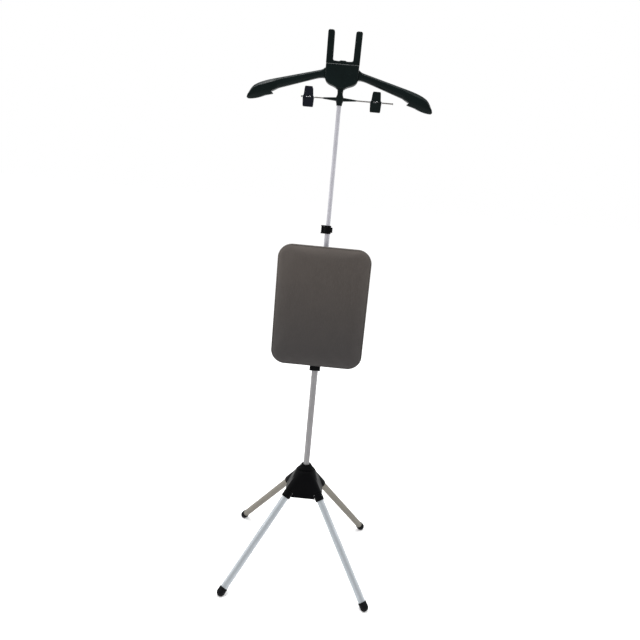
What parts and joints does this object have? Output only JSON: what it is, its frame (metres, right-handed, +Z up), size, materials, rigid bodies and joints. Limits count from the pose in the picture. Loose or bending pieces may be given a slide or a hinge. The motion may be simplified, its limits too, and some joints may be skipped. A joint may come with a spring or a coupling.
{
  "type": "garment steamer stand",
  "caption": "Folding four-legged stand for a garment steamer: telescopic pole, padded pressing board, and a hanger head with steam-head fork and trouser clips.",
  "frame": {"origin": "on the floor under the pole's axis", "axes": "+Z up along the pole, front of the board towards -Y, hanger arms along X"},
  "size_m": [0.45, 0.395, 1.4185],
  "materials": {
    "base_plastic": "fine moulded texture, near black",
    "head_plastic": "fine moulded texture, near black with a slight green cast",
    "tube_aluminium": "drawn tube, satin anodised",
    "steel": "zinc plated",
    "rubber": "matt",
    "nylon": "natural nylon",
    "cover_fabric": "close plain weave, dark warm grey",
    "foam": "open-cell foam",
    "spring_steel": "bright spring wire"
  },
  "bodies": {
    "base": {"hub_body": "base_plastic", "lower_tube": "tube_aluminium", "lower_clamp_collar": "base_plastic", "lower_clamp_pin": "steel", "leg_pivot_pin_front_right": "steel", "leg_pivot_pin_rear_right": "steel", "leg_pivot_pin_rear_left": "steel", "leg_pivot_pin_front_left": "steel"},
    "lock_nut": {"pole_lock_nut": "base_plastic"},
    "leg_front_right": {"leg_knuckle_front_right": "base_plastic", "leg_tube_front_right": "tube_aluminium", "leg_foot_front_right": "rubber"},
    "leg_rear_right": {"leg_knuckle_rear_right": "base_plastic", "leg_tube_rear_right": "tube_aluminium", "leg_foot_rear_right": "rubber"},
    "leg_rear_left": {"leg_knuckle_rear_left": "base_plastic", "leg_tube_rear_left": "tube_aluminium", "leg_foot_rear_left": "rubber"},
    "leg_front_left": {"leg_knuckle_front_left": "base_plastic", "leg_tube_front_left": "tube_aluminium", "leg_foot_front_left": "rubber"},
    "lower_lever": {"lower_clamp_lever": "base_plastic"},
    "middle_pole": {"middle_tube": "tube_aluminium", "middle_tube_glide": "nylon", "upper_clamp_collar": "base_plastic", "upper_clamp_pin": "steel"},
    "upper_lever": {"upper_clamp_lever": "base_plastic"},
    "upper_pole": {"upper_tube": "tube_aluminium", "upper_tube_glide": "nylon"},
    "board": {"board_cover": "cover_fabric", "board_foam": "foam", "board_plate": "base_plastic", "board_carriage": "base_plastic", "board_guide": "base_plastic", "board_screw_1": "steel", "board_screw_2": "steel", "board_screw_3": "steel", "board_screw_4": "steel"},
    "board_knob": {"board_knob": "base_plastic", "board_knob_stud": "steel"},
    "head": {"head_front_shell": "head_plastic", "head_rear_shell": "head_plastic", "steam_head_fork": "head_plastic", "arm_left": "head_plastic", "arm_right": "head_plastic", "neck": "head_plastic", "clip_rod": "steel", "head_screw_1": "steel", "head_screw_2": "steel", "head_screw_3": "steel"},
    "clip_slider_left": {"clip_barrel_left": "steel"},
    "clip_rear_left": {"clip_rear_jaw_left": "head_plastic", "clip_spring_left": "spring_steel"},
    "clip_front_left": {"clip_front_jaw_left": "head_plastic"},
    "clip_slider_right": {"clip_barrel_right": "steel"},
    "clip_rear_right": {"clip_rear_jaw_right": "head_plastic", "clip_spring_right": "spring_steel"},
    "clip_front_right": {"clip_front_jaw_right": "head_plastic"}
  },
  "joints": [
    {"name": "leg_fold_front_right", "type": "hinge", "parent": "base", "child": "leg_front_right", "pos_m": [0.02121, -0.02121, 0.26], "axis": [0.7071, 0.7071, 0], "range_deg": [0, 43]},
    {"name": "leg_fold_rear_right", "type": "hinge", "parent": "base", "child": "leg_rear_right", "pos_m": [0.02121, 0.02121, 0.26], "axis": [-0.7071, 0.7071, 0], "range_deg": [0, 43]},
    {"name": "leg_fold_rear_left", "type": "hinge", "parent": "base", "child": "leg_rear_left", "pos_m": [-0.02121, 0.02121, 0.26], "axis": [-0.7071, -0.7071, 0], "range_deg": [0, 43]},
    {"name": "leg_fold_front_left", "type": "hinge", "parent": "base", "child": "leg_front_left", "pos_m": [-0.02121, -0.02121, 0.26], "axis": [0.7071, -0.7071, 0], "range_deg": [0, 43]},
    {"name": "lock_nut_turn", "type": "hinge", "parent": "base", "child": "lock_nut", "pos_m": [0, 0, 0.294], "axis": [0, 0, 1], "range_deg": [0, 180]},
    {"name": "lower_lever_flip", "type": "hinge", "parent": "base", "child": "lower_lever", "pos_m": [0.0155, 0, 0.718], "axis": [0, 0, -1], "range_deg": [0, 100]},
    {"name": "middle_pole_slide", "type": "slide", "parent": "base", "child": "middle_pole", "axis": [0, 0, 1], "range_m": [-0.2, 0.06]},
    {"name": "upper_lever_flip", "type": "hinge", "parent": "middle_pole", "child": "upper_lever", "pos_m": [-0.0134, 0, 0.9505], "axis": [0, 0, -1], "range_deg": [0, 100]},
    {"name": "upper_pole_slide", "type": "slide", "parent": "middle_pole", "child": "upper_pole", "axis": [0, 0, 1], "range_m": [-0.28, 0.07]},
    {"name": "board_slide", "type": "slide", "parent": "base", "child": "board", "axis": [0, 0, 1], "range_m": [-0.25, 0]},
    {"name": "board_knob_turn", "type": "hinge", "parent": "board", "child": "board_knob", "pos_m": [0, 0.02, 0.67], "axis": [0, 1, 0], "range_deg": [0, 360]},
    {"name": "head_swivel", "type": "hinge", "parent": "upper_pole", "child": "head", "pos_m": [0, 0, 1.262], "axis": [0, 0, 1], "continuous": true},
    {"name": "clip_left_slide", "type": "slide", "parent": "head", "child": "clip_slider_left", "axis": [1, 0, 0], "range_m": [-0.001, 0.02]},
    {"name": "clip_left_swing", "type": "hinge", "parent": "clip_slider_left", "child": "clip_rear_left", "pos_m": [-0.076, 0, 1.265], "axis": [1, 0, 0], "range_deg": [-30, 30]},
    {"name": "clip_left_open", "type": "hinge", "parent": "clip_rear_left", "child": "clip_front_left", "pos_m": [-0.076, 0, 1.265], "axis": [-1, 0, 0], "range_deg": [0, 24], "stiffness_Nm_per_rad": 0.05, "springref_deg": -28.65},
    {"name": "clip_right_slide", "type": "slide", "parent": "head", "child": "clip_slider_right", "axis": [1, 0, 0], "range_m": [-0.032, 0.005]},
    {"name": "clip_right_swing", "type": "hinge", "parent": "clip_slider_right", "child": "clip_rear_right", "pos_m": [0.088, 0, 1.265], "axis": [1, 0, 0], "range_deg": [-30, 30]},
    {"name": "clip_right_open", "type": "hinge", "parent": "clip_rear_right", "child": "clip_front_right", "pos_m": [0.088, 0, 1.265], "axis": [-1, 0, 0], "range_deg": [0, 24], "stiffness_Nm_per_rad": 0.05, "springref_deg": -28.65}
  ]
}
